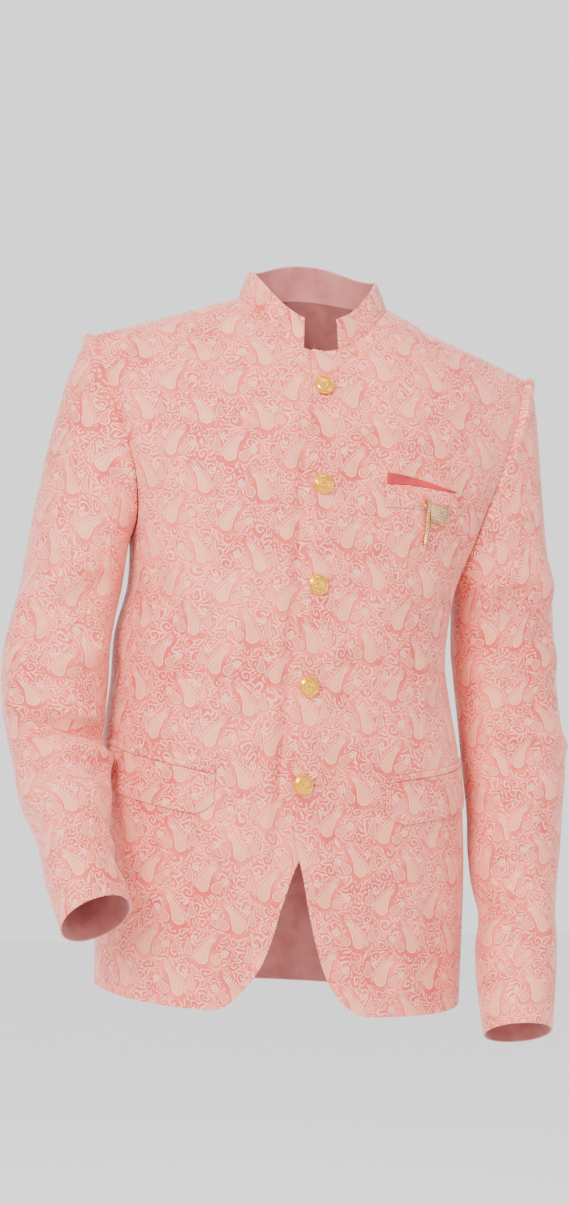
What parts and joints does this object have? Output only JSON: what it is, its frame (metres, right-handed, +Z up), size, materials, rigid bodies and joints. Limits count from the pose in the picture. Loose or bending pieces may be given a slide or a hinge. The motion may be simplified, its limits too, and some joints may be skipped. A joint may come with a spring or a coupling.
{
  "type": "bandhgala jacket",
  "caption": "Closed-neck brocade jacket in its worn form, with a stand collar, cutaway front, domed buttons, flap pockets and a brooch.",
  "frame": {"origin": "middle of the neck at the base of the collar, where the wearer holds the jacket up", "axes": "+Z up, -Y is the front of the jacket, +X is the wearer's left"},
  "size_m": [0.5823, 0.3184, 0.7973],
  "materials": {
    "brocade": "woven paisley brocade with a satin sheen",
    "red_satin": "satin",
    "gold": "polished with dark recesses"
  },
  "bodies": {
    "root": {"front_right": "brocade", "front_left": "brocade", "side_right": "brocade", "side_left": "brocade", "back_right": "brocade", "back_left": "brocade", "sleeve_upper_right": "brocade", "sleeve_under_right": "brocade", "sleeve_upper_left": "brocade", "sleeve_under_left": "brocade", "collar": "brocade", "hip_welt_right": "brocade", "hip_flap_right": "brocade", "hip_welt_left": "brocade", "hip_flap_left": "brocade", "breast_welt": "brocade", "pocket_square": "red_satin", "button_1": "gold", "button_2": "gold", "button_3": "gold", "button_4": "gold", "button_5": "gold", "brooch": "gold"}
  },
  "joints": []
}
